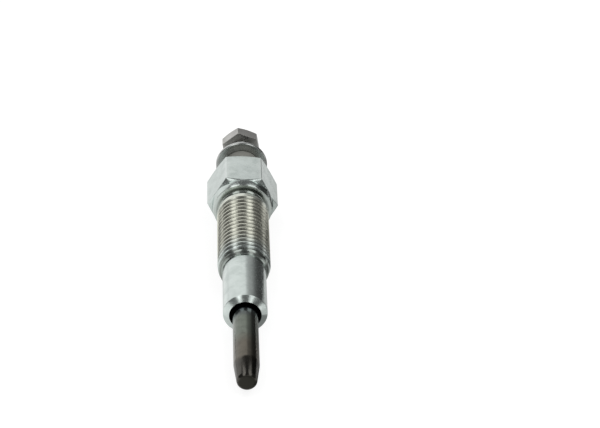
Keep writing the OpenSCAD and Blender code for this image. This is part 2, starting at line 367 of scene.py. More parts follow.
def cut_thread(piece, crest_r, pitch, end, turns, turn):
    """Cuts a right-hand thread with a bar that is wound up to its end, at a turn past the right side."""
    root_r = thread_root(crest_r, pitch)
    outside_r = crest_r + CUTTER_PROUD * pitch
    root_half = ROOT_SHARE / 2 * pitch
    outside_half = root_half + (outside_r - root_r) * math.tan(FLANK)
    rounding = ROOT_ROUNDING * pitch
    start = end - turns * pitch
    points = rounded([
        (outside_r, start - outside_half), (root_r, start - root_half, rounding),
        (root_r, start + root_half, rounding), (outside_r, start + outside_half),
    ])
    bar = draw("thread_bar", points + points[:1])
    close_mesh(bar)
    apply_modifier(
        bar, "SCREW", axis="Z", angle=math.tau, screw_offset=pitch, iterations=turns,
        steps=THREAD_STEPS, render_steps=THREAD_STEPS, use_merge_vertices=True,
        merge_threshold=MERGE_DISTANCE, use_smooth_shade=True)
    with editing(bar):
        bpy.ops.mesh.fill_holes(sides=0)
    bar.rotation_euler = (0, 0, turn)
    bpy.ops.object.transform_apply()
    close_mesh(bar)
    combine(piece, bar, "DIFFERENCE")


def hexagon(name, corner_r, face_d, chamfer, low, high, turn, edge_r, both_ends=True):
    """A hexagon bar with its corners turned back at the rear or at both ends and all its edges eased."""
    bpy.ops.object.select_all(action="DESELECT")
    bpy.ops.mesh.primitive_cylinder_add(
        vertices=6, radius=corner_r, depth=high - low, location=(0, 0, (low + high) / 2),
        rotation=(0, 0, math.pi / 6 + turn))
    bar = new_piece(name)
    bpy.ops.object.transform_apply()
    drop = (corner_r - face_d / 2) * math.tan(chamfer)
    proud = corner_r + edge_r
    proud_drop = drop + edge_r * math.tan(chamfer)
    front = [(face_d / 2, low), (proud, low + proud_drop)] if both_ends else [(proud, low)]
    barrel = turned(name + "_barrel", [
        (0, low), *front, (proud, high - proud_drop), (face_d / 2, high), (0, high)])
    combine(bar, barrel, "INTERSECT")
    apply_modifier(
        bar, "BEVEL", width=edge_r, segments=EDGE_SEGMENTS, limit_method="ANGLE", angle_limit=EDGE_ANGLE,
        use_clamp_overlap=True)
    close_mesh(bar)
    return bar


def lay_down(piece):
    """Lays a piece that was modelled upright where the frame has it, and smooths it."""
    activate(piece)
    piece.rotation_euler = LYING
    piece.location = TIP
    bpy.ops.object.transform_apply()
    bpy.ops.object.shade_smooth_by_angle(angle=SMOOTH_ANGLE)
    apply_modifier(piece, "WEIGHTED_NORMAL", mode="FACE_AREA", weight=50, keep_sharp=True)


def hand_over(piece, node, material):
    """Lays a piece down, gives it its finish, and lets it ride on the body and stand for its CAD node."""
    lay_down(piece)
    piece.data.materials.clear()
    piece.data.materials.append(material)
    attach(piece, "root")
    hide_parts(node)


# Node trees
def put(tree, kind, inputs=None, **settings):
    """Adds a node, sets its properties, and sets or links its inputs."""
    made = tree.nodes.new(kind)
    for name, value in settings.items():
        setattr(made, name, value)
    for key, value in (inputs or {}).items():
        if isinstance(value, bpy.types.NodeSocket):
            tree.links.new(value, made.inputs[key])
        else:
            made.inputs[key].default_value = value
    return made


def mapped(tree, inputs, **settings):
    """Object coordinates through a mapping."""
    coordinates = tree.nodes.new("ShaderNodeTexCoord").outputs["Object"]
    return put(tree, "ShaderNodeMapping", {"Vector": coordinates, **inputs}, **settings).outputs[0]


def compute(tree, operation, first, second=0.0, third=0.0):
    """Value of a math node."""
    return put(tree, "ShaderNodeMath", {0: first, 1: second, 2: third}, operation=operation).outputs[0]


def times(tree, first, second):
    """Product of two values."""
    return compute(tree, "MULTIPLY", first, second)


def spread(tree, value, share, low):
    """A value scaled by a share and raised by a low value."""
    return compute(tree, "MULTIPLY_ADD", value, share, low)


def blend(tree, share, first, second, mode="MIX"):
    """Colour between two colours."""
    inputs = {0: share, 6: first, 7: second}
    return put(tree, "ShaderNodeMix", inputs, data_type="RGBA", blend_type=mode).outputs[2]


def ease(tree, value, low, high, to_low=0.0, to_high=1.0):
    """A value eased from one range to another."""
    inputs = {"Value": value, "From Min": low, "From Max": high, "To Min": to_low, "To Max": to_high}
    return put(tree, "ShaderNodeMapRange", inputs, interpolation_type="SMOOTHSTEP").outputs[0]


def noise(tree, place, scale, detail=3.0, roughness=0.5, distortion=0.0):
    """Value of a noise texture."""
    inputs = {
        "Vector": place, "Scale": scale, "Detail": detail, "Roughness": roughness, "Distortion": distortion}
    return put(tree, "ShaderNodeTexNoise", inputs).outputs[0]


def opaque(rgb):
    """A colour with its alpha."""
    return (*rgb, 1.0)


def toned(rgb, share):
    """A colour made darker or lighter."""
    return [min(1.0, share * part) for part in rgb]


def cover(tree, base, rgb, mask, share=1.0):
    """A base colour with a share of another one over it, where a mask says."""
    return blend(tree, times(tree, mask, share), base, opaque(rgb))


def fill_ramp(tree, value, stops):
    """Colour of a ramp through (position, colour) stops."""
    ramp = put(tree, "ShaderNodeValToRGB", {0: value})
    elements = ramp.color_ramp.elements
    while len(elements) < len(stops):
        elements.new(1.0)
    for element, (position, rgb) in zip(elements, stops):
        element.position = position
        element.color = opaque(rgb)
    return ramp.outputs[0]


# Node groups that the finishes share
def new_group(name, inputs, outputs):
    """An empty shader node group, its inputs and its outputs; a place is a vector, the rest are values."""
    tree = bpy.data.node_groups.new(name, "ShaderNodeTree")
    for sockets, side in ((inputs, "INPUT"), (outputs, "OUTPUT")):
        for socket in sockets:
            kind = "NodeSocketVector" if socket == "Place" else "NodeSocketFloat"
            tree.interface.new_socket(name=socket, in_out=side, socket_type=kind)
    return tree, tree.nodes.new("NodeGroupInput").outputs, tree.nodes.new("NodeGroupOutput").inputs


def close_group(tree, result, *values):
    """Links values to the outputs of a group in their order, and gives the group."""
    for value, socket in zip(values, result):
        tree.links.new(value, socket)
    return tree


@functools.cache
def make_position_group():
    """Height along the axis and distance from it, in millimetres."""
    tree, given, result = new_group("Position on the plug", ["Place"], ["Along", "Out"])
    across, up, height = put(tree, "ShaderNodeSeparateXYZ", {0: given["Place"]}).outputs
    square = spread(tree, across, across, times(tree, up, up))
    return close_group(tree, result, height, compute(tree, "SQRT", square))


@functools.cache
def make_band_group():
    """A band between two places along the axis, with soft ends."""
    tree, given, result = new_group("Band along the axis", ["Along", "From", "To", "Soft"], ["Mask"])
    half = times(tree, given["Soft"], 0.5)
    ends = []
    for end in ("From", "To"):
        low = compute(tree, "SUBTRACT", given[end], half)
        high = compute(tree, "ADD", given[end], half)
        ends.append(ease(tree, given["Along"], low, high))
    return close_group(tree, result, compute(tree, "SUBTRACT", *ends))


@functools.cache
def make_turning_group():
    """Fine uneven rings that a turning tool leaves, on round and on end faces alike."""
    tree, given, result = new_group("Turning marks", ["Place", "Along", "Out", "Spacing"], ["Height", "Tone"])
    feed = compute(tree, "DIVIDE", compute(tree, "ADD", given["Along"], given["Out"]), given["Spacing"])
    sway = spread(tree, noise(tree, given["Place"], 0.4, 2.0), 0.6, feed)
    rings = put(tree, "ShaderNodeCombineXYZ", {0: 0.0, 1: 0.0, 2: sway}).outputs[0]
    fine = noise(tree, rings, 1.0, 4.0, 0.6)
    broad = noise(tree, rings, 0.12, 2.0)
    return close_group(tree, result, fine, ease(tree, broad, 0.3, 0.7))


@functools.cache
def make_clouds_group():
    """Cloudy patches, small pits and fine grain of a plated surface."""
    tree, given, result = new_group("Plating clouds", ["Place", "Size"], ["Clouds", "Pits", "Grain"])
    scale = compute(tree, "DIVIDE", 1.0, given["Size"])
    clouds = ease(tree, noise(tree, given["Place"], scale, 5.0, 0.6, 0.4), 0.38, 0.68)
    cells = put(tree, "ShaderNodeTexVoronoi", {
        "Vector": given["Place"], "Scale": times(tree, scale, 3.0), "Randomness": 1.0})
    patches = ease(tree, noise(tree, given["Place"], times(tree, scale, 0.7), 2.0), 0.5, 0.65)
    pits = times(tree, ease(tree, cells.outputs["Distance"], 0.16, 0.06), patches)
    grain = noise(tree, given["Place"], 14.0, 4.0, 0.65)
    return close_group(tree, result, clouds, pits, grain)


@functools.cache
def make_root_shade_group():
    """Painted shade in the roots of a thread: full at one radius and none at another."""
    tree, given, result = new_group("Painted root shade", ["Place", "Out", "Root", "Unshaded"], ["Mask"])
    uneven = spread(tree, noise(tree, given["Place"], 1.3, 3.0), 0.25, given["Out"])
    shifted = compute(tree, "SUBTRACT", uneven, 0.125)
    return close_group(tree, result, ease(tree, shifted, given["Root"], given["Unshaded"], 1.0, 0.0))


@functools.cache
def make_scuffs_group():
    """Fine scuffs from handling, in two directions."""
    tree, given, result = new_group("Scuffs", ["Place", "Size"], ["Mask"])
    scale = compute(tree, "DIVIDE", 1.0, given["Size"])
    scuffs = []
    for turn, stretch in (((0.3, 0.9, 0.4), (1.0, 9.0, 9.0)), ((1.2, 0.2, 1.1), (8.0, 1.0, 8.0))):
        inputs = {"Vector": given["Place"], "Rotation": turn, "Scale": stretch}
        stretched = put(tree, "ShaderNodeMapping", inputs).outputs[0]
        scuffs.append(ease(tree, noise(tree, stretched, scale, 2.0, 0.4), 0.66, 0.74))
    return close_group(tree, result, compute(tree, "MAXIMUM", *scuffs))


def use_group(tree, maker, inputs):
    """Places a shared node group, which its maker builds once, in a tree and gives its outputs."""
    return put(tree, "ShaderNodeGroup", inputs, node_tree=maker()).outputs


# Finishes, with fixed tones, and in millimetres the hexagon's worn corners and the heater's tinted length
PIT_TONE = (0.16, 0.17, 0.16)
WORN_TONE = (0.74, 0.78, 0.76)
WORN_RADII = (6.45, 6.9)
# Painted shade in the roots of the stud's thread
STUD_ROOT_SHADE = (0.08, 0.085, 0.075)
SOOT_PIT_TONE = (0.03, 0.03, 0.028)
TINTED_LENGTH = 24.0


def new_material(name):
    """A node material; gives it with its tree, shader, and place on the plug in millimetres."""
    material = bpy.data.materials.new(name)
    material.use_nodes = True
    tree = material.node_tree
    inputs = {"Location": TIP, "Rotation": LYING, "Scale": [MM] * 3}
    place = mapped(tree, inputs, vector_type="TEXTURE")
    position = use_group(tree, make_position_group, {"Place": place})
    return SimpleNamespace(
        material=material, tree=tree, shader=tree.nodes["Principled BSDF"], place=place,
        along=position["Along"], out=position["Out"])


def set_shader(made, base, roughness, height, metallic, depth):
    """Links colour and roughness to the shader, and a bump of the given depth in metres."""
    made.tree.links.new(base, made.shader.inputs["Base Color"])
    made.tree.links.new(roughness, made.shader.inputs["Roughness"])
    made.shader.inputs["Metallic"].default_value = metallic
    bump = put(made.tree, "ShaderNodeBump", {"Strength": 1.0, "Distance": depth, "Height": height})
    made.tree.links.new(bump.outputs[0], made.shader.inputs["Normal"])
    return made.material


def clouds_of(made, size):
    """Clouds, pits and grain of a finish, with clouds of a size in millimetres."""
    return use_group(made.tree, make_clouds_group, {"Place": made.place, "Size": size})


def band_of(made, low, high, soft):
    """Mask of a stretch of the plug between two places, with soft ends of a width in millimetres."""
    inputs = {"Along": made.along, "From": low / MM, "To": high / MM, "Soft": soft}
    return use_group(made.tree, make_band_group, inputs)["Mask"]


def root_shade_of(made, root, unshaded):
    """Mask of the painted shade in a thread's roots, full at one radius and none at another, in millimetres.
    """
    inputs = {"Place": made.place, "Out": made.out, "Root": root, "Unshaded": unshaded}
    return use_group(made.tree, make_root_shade_group, inputs)["Mask"]


def plated_parts(made, plate, cloud, spacing, rough):
    """Colour, roughness and height that all plated pieces share."""
    tree = made.tree
    clouds = clouds_of(made, size=2.2)
    marks = use_group(tree, make_turning_group, {
        "Place": made.place, "Along": made.along, "Out": made.out, "Spacing": spacing})
    scuffs = use_group(tree, make_scuffs_group, {"Place": made.place, "Size": 1.6})["Mask"]
    share = spread(tree, marks["Tone"], 0.22, times(tree, clouds["Clouds"], 0.5))
    base = blend(tree, share, opaque(plate), opaque(cloud))
    base = cover(tree, base, PIT_TONE, clouds["Pits"], 0.45)
    roughness = spread(tree, scuffs, 0.12, spread(tree, clouds["Clouds"], 0.07, rough))
    height = spread(tree, scuffs, -0.5, spread(tree, clouds["Grain"], 0.5, marks["Height"]))
    return base, roughness, height


def zinc_housing_material(finish, sizes):
    """Bright zinc plate: yellowish on the thread, with painted shade in its roots, in its groove and inside
    the mouth.
    """
    made = new_material("zinc_plated_housing")
    tree = made.tree
    thread_r = THREAD_R / MM
    collar_r = sizes.collar_d / 2 / MM
    mouth_r = sizes.mouth_d / 2 / MM
    base, roughness, height = plated_parts(made, finish.zinc, finish.zinc_cloud, spacing=0.3, rough=0.17)
    thread = band_of(made, THREAD_LOW + 2.5 * MM, THREAD_HIGH, soft=6.0)
    base = cover(tree, base, finish.passivate, thread, 0.8)
    turns = band_of(made, THREAD_LOW - sizes.lead_l, THREAD_HIGH + 1.2 * MM, soft=0.6)
    # Painted shade in the roots of the thread
    painted_shade = times(tree, root_shade_of(made, thread_r - 0.6, thread_r + 0.03), turns)
    base = cover(tree, base, finish.root_shade_tone, painted_shade, 0.85)
    # Painted shade in the relief groove, deepest low in the groove and fading up its wall
    groove = band_of(made, THREAD_HIGH + 0.4 * MM, THREAD_HIGH + sizes.relief_l + 0.02 * MM, soft=0.1)
    wall = ease(tree, made.out, collar_r - 0.35, collar_r - 0.7, 0.0, 0.5)
    base = cover(tree, base, finish.root_shade_tone, groove, wall)
    # Painted shade inside the mouth, which is also rougher there
    inside = ease(tree, made.out, mouth_r + 0.12, mouth_r + 0.02)
    base = cover(tree, base, finish.mouth_shade, inside, 0.94)
    corners = ease(tree, made.out, *WORN_RADII)
    base = cover(tree, base, WORN_TONE, corners, 0.5)
    roughness = spread(tree, thread, 0.02, spread(tree, inside, 0.25, roughness))
    return set_shader(made, base, roughness, height, metallic=1.0, depth=0.0006 * MM)


def plated_material(name, plate, spacing, rough, painted_shade=None):
    """Duller zinc plate of the terminal; on a thread, with painted shade from its root to the radius where it
    ends.
    """
    made = new_material(name)
    base, roughness, height = plated_parts(made, plate, toned(plate, 0.74), spacing, rough)
    if painted_shade:
        # Painted shade in the roots of the thread
        base = cover(made.tree, base, STUD_ROOT_SHADE, root_shade_of(made, *painted_shade), 0.75)
    return set_shader(made, base, roughness, height, metallic=1.0, depth=0.0015 * MM)


def heater_material(finish, sizes):
    """Heat-tinted alloy: bluish at the mouth, then olive, brown above the taper, a painted dark reflection on
    the taper, black on its end.
    """
    made = new_material("heat_tinted_alloy")
    tree = made.tree
    clouds = clouds_of(made, size=1.8)
    drawn = put(tree, "ShaderNodeMapping", {"Vector": made.place, "Scale": (6.0, 6.0, 0.25)}).outputs[0]
    streaks = noise(tree, drawn, 1.0, 4.0, 0.6)
    height = compute(tree, "SUBTRACT", spread(tree, noise(tree, made.place, 0.35, 2.0), 1.6, made.along), 0.8)
    taper = sizes.taper_l / MM
    tints = (
        # Painted dark reflection over the taper, up to near its end
        (taper - 0.9, finish.taper_reflection_dark),
        (taper + 0.5, finish.heater_brown),
        (taper + 4.5, finish.heater_brown),
        (taper + 8.0, finish.heater_olive),
        (17.5, finish.heater_olive),
        (20.5, finish.heater_blue),
    )
    stops = [(place / TINTED_LENGTH, rgb) for place, rgb in tints]
    tint = fill_ramp(tree, compute(tree, "DIVIDE", height, TINTED_LENGTH), stops)
    share = times(tree, times(tree, streaks, clouds["Clouds"]), 0.5)
    base = blend(tree, share, tint, opaque(toned(finish.heater_olive, 0.6)), "MULTIPLY")
    end = ease(tree, made.along, 0.3, 0.04)
    base = cover(tree, base, finish.heater_end, end)
    base = cover(tree, base, SOOT_PIT_TONE, clouds["Pits"], 0.5)
    roughness = spread(tree, end, 0.2, spread(tree, clouds["Clouds"], 0.05, 0.15))
    bump = spread(tree, clouds["Grain"], 0.6, streaks)
    return set_shader(made, base, roughness, bump, metallic=1.0, depth=0.0015 * MM)


def clouded_material(name, rgb, cloud, size, share, grain, rough, metallic, depth):
    """A finish with darker or lighter clouds and a grain that roughens it."""
    made = new_material(name)
    clouds = clouds_of(made, size)
    base = cover(made.tree, opaque(rgb), toned(rgb, cloud), clouds["Clouds"], share)
    roughness = spread(made.tree, clouds["Grain"], grain, rough)
    return set_shader(made, base, roughness, clouds["Grain"], metallic=metallic, depth=depth)


def resin_material(finish):
    """Moulded resin with a fine grain and faint flow clouds."""
    return clouded_material(
        "moulded_resin", finish.resin, cloud=0.7, size=1.5, share=0.6, grain=0.15, rough=0.42,
        metallic=0.0, depth=0.02 * MM)


def powder_material(finish):
    """Packed oxide powder with its grains."""
    made = new_material("packed_oxide_powder")
    tree = made.tree
    grains = noise(tree, made.place, 9.0, 4.0, 0.7)
    base = cover(tree, opaque(toned(finish.powder, 0.8)), finish.powder, ease(tree, grains, 0.35, 0.65))
    roughness = ease(tree, grains, 0.2, 0.8, 0.85, 0.98)
    return set_shader(made, base, roughness, grains, metallic=0.0, depth=0.03 * MM)


def wire_material(finish):
    """Drawn resistance wire with an uneven oxide skin."""
    return clouded_material(
        "oxidised_wire", finish.wire, cloud=1.9, size=0.7, share=1.0, grain=0.2, rough=0.3,
        metallic=1.0, depth=0.004 * MM)


def rubber_material(finish):
    """Matt black rubber with a faint bloom."""
    return clouded_material(
        "seal_rubber", finish.rubber, cloud=2.4, size=1.0, share=1.0, grain=0.2, rough=0.55,
        metallic=0.0, depth=0.01 * MM)


# Operators
class PLUG_OT_housing(bpy.types.Operator):
    """Turn the housing, cut its thread, add the hexagon and bore it through"""

    bl_idname = "plug.housing"
    bl_label = "Housing"

    def execute(self, context):
        sizes = context.scene.plug_housing
        nose_r = sizes.nose_d / 2
        mouth_r = sizes.mouth_d / 2
        relief_r = sizes.relief_d / 2
        boss_r = sizes.boss_d / 2
        edge = sizes.edge_r
        mouth = SEAT_HIGH - (nose_r - mouth_r) / math.tan(sizes.seat_angle / 2)
        lead = THREAD_LOW - sizes.lead_l
        collar = THREAD_HIGH + sizes.relief_l
        hex_low = HEX_MIDDLE - sizes.hex_l / 2
        hex_high = HEX_MIDDLE + sizes.hex_l / 2
        lead_r = sizes.lead_d / 2
        collar_r = sizes.collar_d / 2
        collar_rear_r = sizes.collar_rear_d / 2

        body = turned("plated_housing", [
            (0, mouth), (mouth_r, mouth), (nose_r, SEAT_HIGH, edge), (nose_r, lead),
            (lead_r, lead + (lead_r - nose_r) / 2, edge), (THREAD_R, THREAD_LOW),
            (THREAD_R, THREAD_HIGH, edge), (relief_r, THREAD_HIGH + (THREAD_R - relief_r) / 2, edge),
            (relief_r, collar - (collar_r - relief_r) * math.tan(sizes.relief_wall), sizes.relief_fillet),
            (collar_r, collar, edge), (collar_rear_r, hex_low), (collar_rear_r, HEX_MIDDLE),
            (boss_r, HEX_MIDDLE), (boss_r, HOUSING_HIGH, 2 * edge), (0, HOUSING_HIGH),
        ])

        # The last groove passes the top half a pitch in front of the last crest, and rises on to its end
        end = sizes.crest_place - sizes.pitch / 2 + (0.25 + sizes.thread_end / math.tau) * sizes.pitch
        turns = math.ceil((end - THREAD_LOW) / sizes.pitch) + 1
        cut_thread(body, THREAD_R, sizes.pitch, end, turns, sizes.thread_end)

        bar = hexagon(
            "housing_hexagon", HEX_CORNER_R, sizes.hex_face_d, sizes.hex_chamfer, hex_low, hex_high, 0, edge)
        combine(body, bar, "UNION")

        grip_r = sizes.grip_d / 2
        chamfer = sizes.mouth_chamfer
        counterbore_r = sizes.counterbore_d / 2
        counterbore = HOUSING_HIGH - sizes.counterbore_l
        hollow = turned("housing_hollow", [
            (0, mouth - chamfer), (mouth_r + 2 * chamfer, mouth - chamfer),
            (mouth_r, mouth + chamfer, chamfer / 2), (mouth_r, mouth + sizes.mouth_depth),
            (grip_r, mouth + sizes.mouth_depth + mouth_r - grip_r), (grip_r, counterbore),
            (counterbore_r, counterbore), (counterbore_r, HOUSING_HIGH + MM), (0, HOUSING_HIGH + MM),
        ])
        combine(body, hollow, "DIFFERENCE")
        close_mesh(body)
        hand_over(body, "housing", zinc_housing_material(context.scene.plug_finish, sizes))
        return {"FINISHED"}


class PLUG_OT_heater(bpy.types.Operator):
    """Turn the closed heater tube with its swaged tip"""

    bl_idname = "plug.heater"
    bl_label = "Heater"

    def execute(self, context):
        sizes = context.scene.plug_heater
        tip_r = sizes.tip_d / 2
        bore_r = SHEATH_R - sizes.wall
        tube = turned("heater_tube", [
            (0, 0), (tip_r, 0, sizes.tip_edge_r), (SHEATH_R, sizes.taper_l, sizes.taper_r),
            (SHEATH_R, SHEATH_HIGH), (bore_r, SHEATH_HIGH), (bore_r, sizes.taper_l),
            (tip_r - sizes.wall, sizes.tip_wall), (0, sizes.tip_wall),
        ])
        hand_over(tube, "heater_sheath", heater_material(context.scene.plug_finish, sizes))
        return {"FINISHED"}


class PLUG_OT_rod(bpy.types.Operator):
    """Turn the centre rod and cut the thread of its terminal stud"""

    bl_idname = "plug.rod"
    bl_label = "Centre rod"

    def execute(self, context):
        sizes = context.scene.plug_terminal
        pin_r = sizes.pin_d / 2
        shank_r = sizes.shank_d / 2
        shank_low = SHEATH_HIGH + sizes.shank_d / 4
        stud_low = sizes.stud_low
        rod = turned("terminal_rod", [
            (0, ROD_LOW), (pin_r, ROD_LOW), (pin_r, shank_low), (shank_r, shank_low + shank_r - pin_r),
            (shank_r, stud_low), (STUD_R, stud_low + STUD_R - shank_r),
            (STUD_R, ROD_HIGH - sizes.stud_chamfer), (STUD_R - sizes.stud_chamfer, ROD_HIGH), (0, ROD_HIGH),
        ])
        end = ROD_HIGH + sizes.stud_pitch
        turns = math.floor((end - stud_low) / sizes.stud_pitch)
        cut_thread(rod, STUD_R, sizes.stud_pitch, end, turns, 0)
        close_mesh(rod)
        root_r = thread_root(STUD_R, sizes.stud_pitch) / MM
        plate = context.scene.plug_finish.rod_plate
        material = plated_material(
            "zinc_plated_stud", plate, spacing=0.3, rough=0.26, painted_shade=(root_r, STUD_R / MM - 0.1))
        hand_over(rod, "centre_rod", material)
        return {"FINISHED"}


class PLUG_OT_bush(bpy.types.Operator):
    """Turn the insulating bush with its spigot"""

    bl_idname = "plug.bush"
    bl_label = "Insulating bush"

    def execute(self, context):
        sizes = context.scene.plug_terminal
        bore_r = STUD_R + sizes.bore_gap
        spigot_r = sizes.spigot_d / 2
        lip = 0.15 * MM
        bush = turned("moulded_bush", [
            (bore_r, BUSH_LOW), (spigot_r, BUSH_LOW, lip), (spigot_r, HOUSING_HIGH),
            (BUSH_R, HOUSING_HIGH, lip), (BUSH_R, BUSH_HIGH, sizes.bush_edge_r), (bore_r, BUSH_HIGH, lip),
        ], ring=True)
        hand_over(bush, "insulating_bush", resin_material(context.scene.plug_finish))
        return {"FINISHED"}


class PLUG_OT_washer(bpy.types.Operator):
    """Turn the round terminal washer"""

    bl_idname = "plug.washer"
    bl_label = "Terminal washer"

    def execute(self, context):
        sizes = context.scene.plug_terminal
        hole_r = STUD_R + sizes.washer_gap
        edge = sizes.washer_edge_r
        washer = turned("round_washer", [
            (hole_r, WASHER_LOW, edge / 2), (WASHER_R, WASHER_LOW, edge), (WASHER_R, WASHER_HIGH, edge),
            (hole_r, WASHER_HIGH, edge / 2),
        ], ring=True)
        plate = context.scene.plug_finish.washer_plate
        material = plated_material("zinc_plated_washer", plate, spacing=0.4, rough=0.22)
        hand_over(washer, "terminal_washer", material)
        return {"FINISHED"}


class PLUG_OT_nut(bpy.types.Operator):
    """Cut the hexagon nut and bore and countersink it"""

    bl_idname = "plug.nut"
    bl_label = "Terminal nut"

    def execute(self, context):
        sizes = context.scene.plug_terminal
        nut = hexagon(
            "hexagon_nut", NUT_CORNER_R, sizes.nut_face_d, sizes.nut_chamfer, NUT_LOW, NUT_HIGH,
            sizes.nut_turn, sizes.nut_edge_r, both_ends=False)
        bore_r = STUD_R + sizes.bore_gap
        sink = sizes.nut_sink
        bore = turned("nut_bore", [
            (0, NUT_LOW - sink), (bore_r + 2 * sink, NUT_LOW - sink), (bore_r, NUT_LOW + sink),
            (bore_r, NUT_HIGH - sink), (bore_r + 2 * sink, NUT_HIGH + sink), (0, NUT_HIGH + sink),
        ])
        combine(nut, bore, "DIFFERENCE")
        close_mesh(nut)
        plate = context.scene.plug_finish.nut_plate
        material = plated_material("zinc_plated_nut", plate, spacing=0.3, rough=0.27)
        hand_over(nut, "terminal_nut", material)
        return {"FINISHED"}


class PLUG_OT_inside(bpy.types.Operator):
    """Give the coils, the powder and the seals inside the plug their finishes"""

    bl_idname = "plug.inside"
    bl_label = "Inside pieces"

    def execute(self, context):
        finish = context.scene.plug_finish
        wire = wire_material(finish)
        rubber = rubber_material(finish)
        finishes = {
            "heating_coil": wire,
            "control_coil": wire,
            "insulating_powder": powder_material(finish),
            "sheath_seal": rubber,
            "o_ring": rubber,
        }
        for node, material in finishes.items():
            for slot in frame["nodes"][node].material_slots:
                slot.material = material
        return {"FINISHED"}


# The stage: the picture, and the sizes and places of what stands round the plug, in metres
PICTURE = (600, 428)
SENSOR = 36.0
NEAR_CLIP = 0.01
FLOOR_SIZE = (8, 8)
HOOD_R = 1.6
LAMP_SIZE = (0.16, 1.4)
LAMP_PLACE = (0.215, -0.51, 0.3)
LAMP_SPLAY = math.radians(6.8)
BACKDROP_SIZE = (1.7, 0.46)
BACKDROP_PLACE = (0, 0.45, 0.23)

# Tones of the backdrop by their place from its middle, which is the middle of the ramp too
BACKDROP_TONES = (
    (-0.12, 1.0), (0.0, 0.97), (0.05, 0.6), (0.1, 0.44), (0.19, 0.34), (0.28, 0.07), (0.4, 0.03))
RAMP_MIDDLE = 0.5

# Painted shadow of the plug and a darker floor, in the paper that metal sees: where it gets dimmer to the
# right, lighter again, and dimmer behind, in millimetres
PAPER_FALL = (-20.0, 12.0)
PAPER_RISE = (13.0, 30.0)
PAPER_REAR = (-10.0, 40.0)

# Dark cards on the floor: size and place in millimetres, turn in degrees, and the tone that each takes
CARD_LIFT = 0.1
CARDS = (
    # The heater card is painted shadow: the plug's shadow on the paper beside the heater, as metal sees it
    ("heater_card", (7, 30), (6, -30.5), 0, "card_tone"),
    ("slanted_card", (50, 22), (29.3, 0.2), 56, "card_tone"),
    ("rear_card", (80, 17), (38, 47), 56.6, "side_tone"),
    ("far_card", (430, 80), (172, 262), 57, "side_tone"),
    ("left_card", (126, 13), (-64.5, -47.7), 42.5, "side_tone"),
    ("right_card", (126, 13), (64.5, -47.7), -42.5, "side_tone"),
)


def stage_material(name):
    """An empty node material that the lamps' sampling leaves alone, and its tree."""
    material = bpy.data.materials.new(name)
    material.use_nodes = True
    material.node_tree.nodes.clear()
    material.cycles.emission_sampling = "NONE"
    return material, material.node_tree


def shine(tree, tint):
    """Makes a colour the light of a material's own surface."""
    emission = put(tree, "ShaderNodeEmission", {"Color": tint, "Strength": 1.0})
    put(tree, "ShaderNodeOutputMaterial", {"Surface": emission.outputs[0]})


def glow_material(name, tone):
    """A plain tone that the metal reflects as it is, whatever light falls on it."""
    material, tree = stage_material(name)
    shine(tree, opaque([tone] * 3))
    return material


def graded_material():
    """The backdrop's tones, from white on the left to nearly black on the right."""
    material, tree = stage_material("graded_card")
    place = mapped(tree, {"Location": (RAMP_MIDDLE, 0, 0)})
    across = put(tree, "ShaderNodeSeparateXYZ", {0: place}).outputs[0]
    stops = [(RAMP_MIDDLE + place, [tone] * 3) for place, tone in BACKDROP_TONES]
    shine(tree, fill_ramp(tree, across, stops))
    return material


def paper_material(stage):
    """Pale paper with a soft shadow: white to the camera, and dimmer to metal on the right and behind."""
    material, tree = stage_material("pale_paper")
    rays = tree.nodes.new("ShaderNodeLightPath").outputs
    place = mapped(tree, {"Scale": [1 / MM] * 3})
    across, back, _ = put(tree, "ShaderNodeSeparateXYZ", {0: place}).outputs
    # Painted shadow of the plug and a darker floor: the paper that metal sees falls off to the right
    fall = ease(tree, across, *PAPER_FALL, 1.0, stage.floor_right)
    rise = ease(tree, across, *PAPER_RISE, 0.0, 1.0 - stage.floor_right)
    rear = ease(tree, back, *PAPER_REAR, 1.0, stage.floor_rear)
    metal = times(tree, compute(tree, "ADD", fall, rise), rear)
    seen = times(tree, rays["Is Glossy Ray"], metal)
    seen = compute(tree, "MAXIMUM", seen, rays["Is Camera Ray"])
    seen = compute(tree, "MAXIMUM", seen, rays["Is Transmission Ray"])
    glow = times(tree, seen, stage.floor_glow)
    emission = put(tree, "ShaderNodeEmission", {"Strength": glow})
    diffuse = put(tree, "ShaderNodeBsdfDiffuse", {"Color": opaque(stage.floor)})
    both = put(tree, "ShaderNodeAddShader", {0: emission.outputs[0], 1: diffuse.outputs[0]})
    put(tree, "ShaderNodeOutputMaterial", {"Surface": both.outputs[0]})
    return material


def stage_piece(name, material):
    """Makes the primitive that was just added a piece of the stage."""
    piece = new_piece(name)
    piece.data.materials.clear()
    piece.data.materials.append(material)
    return piece


def show_to_metal_only(piece):
    """Lets a stage piece be seen in reflections and nowhere else."""
    piece.visible_camera = False
    piece.visible_diffuse = False
    piece.visible_shadow = False
    piece.visible_transmission = False


def add_sheet(name, size, place, turn, material):
    """A flat sheet of the stage."""
    bpy.ops.object.select_all(action="DESELECT")
    bpy.ops.mesh.primitive_plane_add(size=1, location=place, rotation=turn)
    bpy.context.object.scale = (*size, 1)
    bpy.ops.object.transform_apply()
    return stage_piece(name, material)


def add_hood(stage):
    """A dark hood: half a dome round the plug, open behind it below a plane that leans back."""
    bpy.ops.object.select_all(action="DESELECT")
    bpy.ops.mesh.primitive_uv_sphere_add(segments=64, ring_count=32, radius=HOOD_R)
    side = math.cos(stage.hood_side)
    lean = (math.cos(stage.hood_edge) - side) / math.sin(stage.hood_edge)
    for place, normal in (((0, 0, 0), (0, 0, 1)), ((0, side * HOOD_R, 0), (0, -1, lean))):
        with editing(bpy.context.object):
            bpy.ops.mesh.bisect(plane_co=place, plane_no=normal, clear_inner=True)
    show_to_metal_only(stage_piece("dark_hood", glow_material("hood_cloth", stage.hood_tone)))


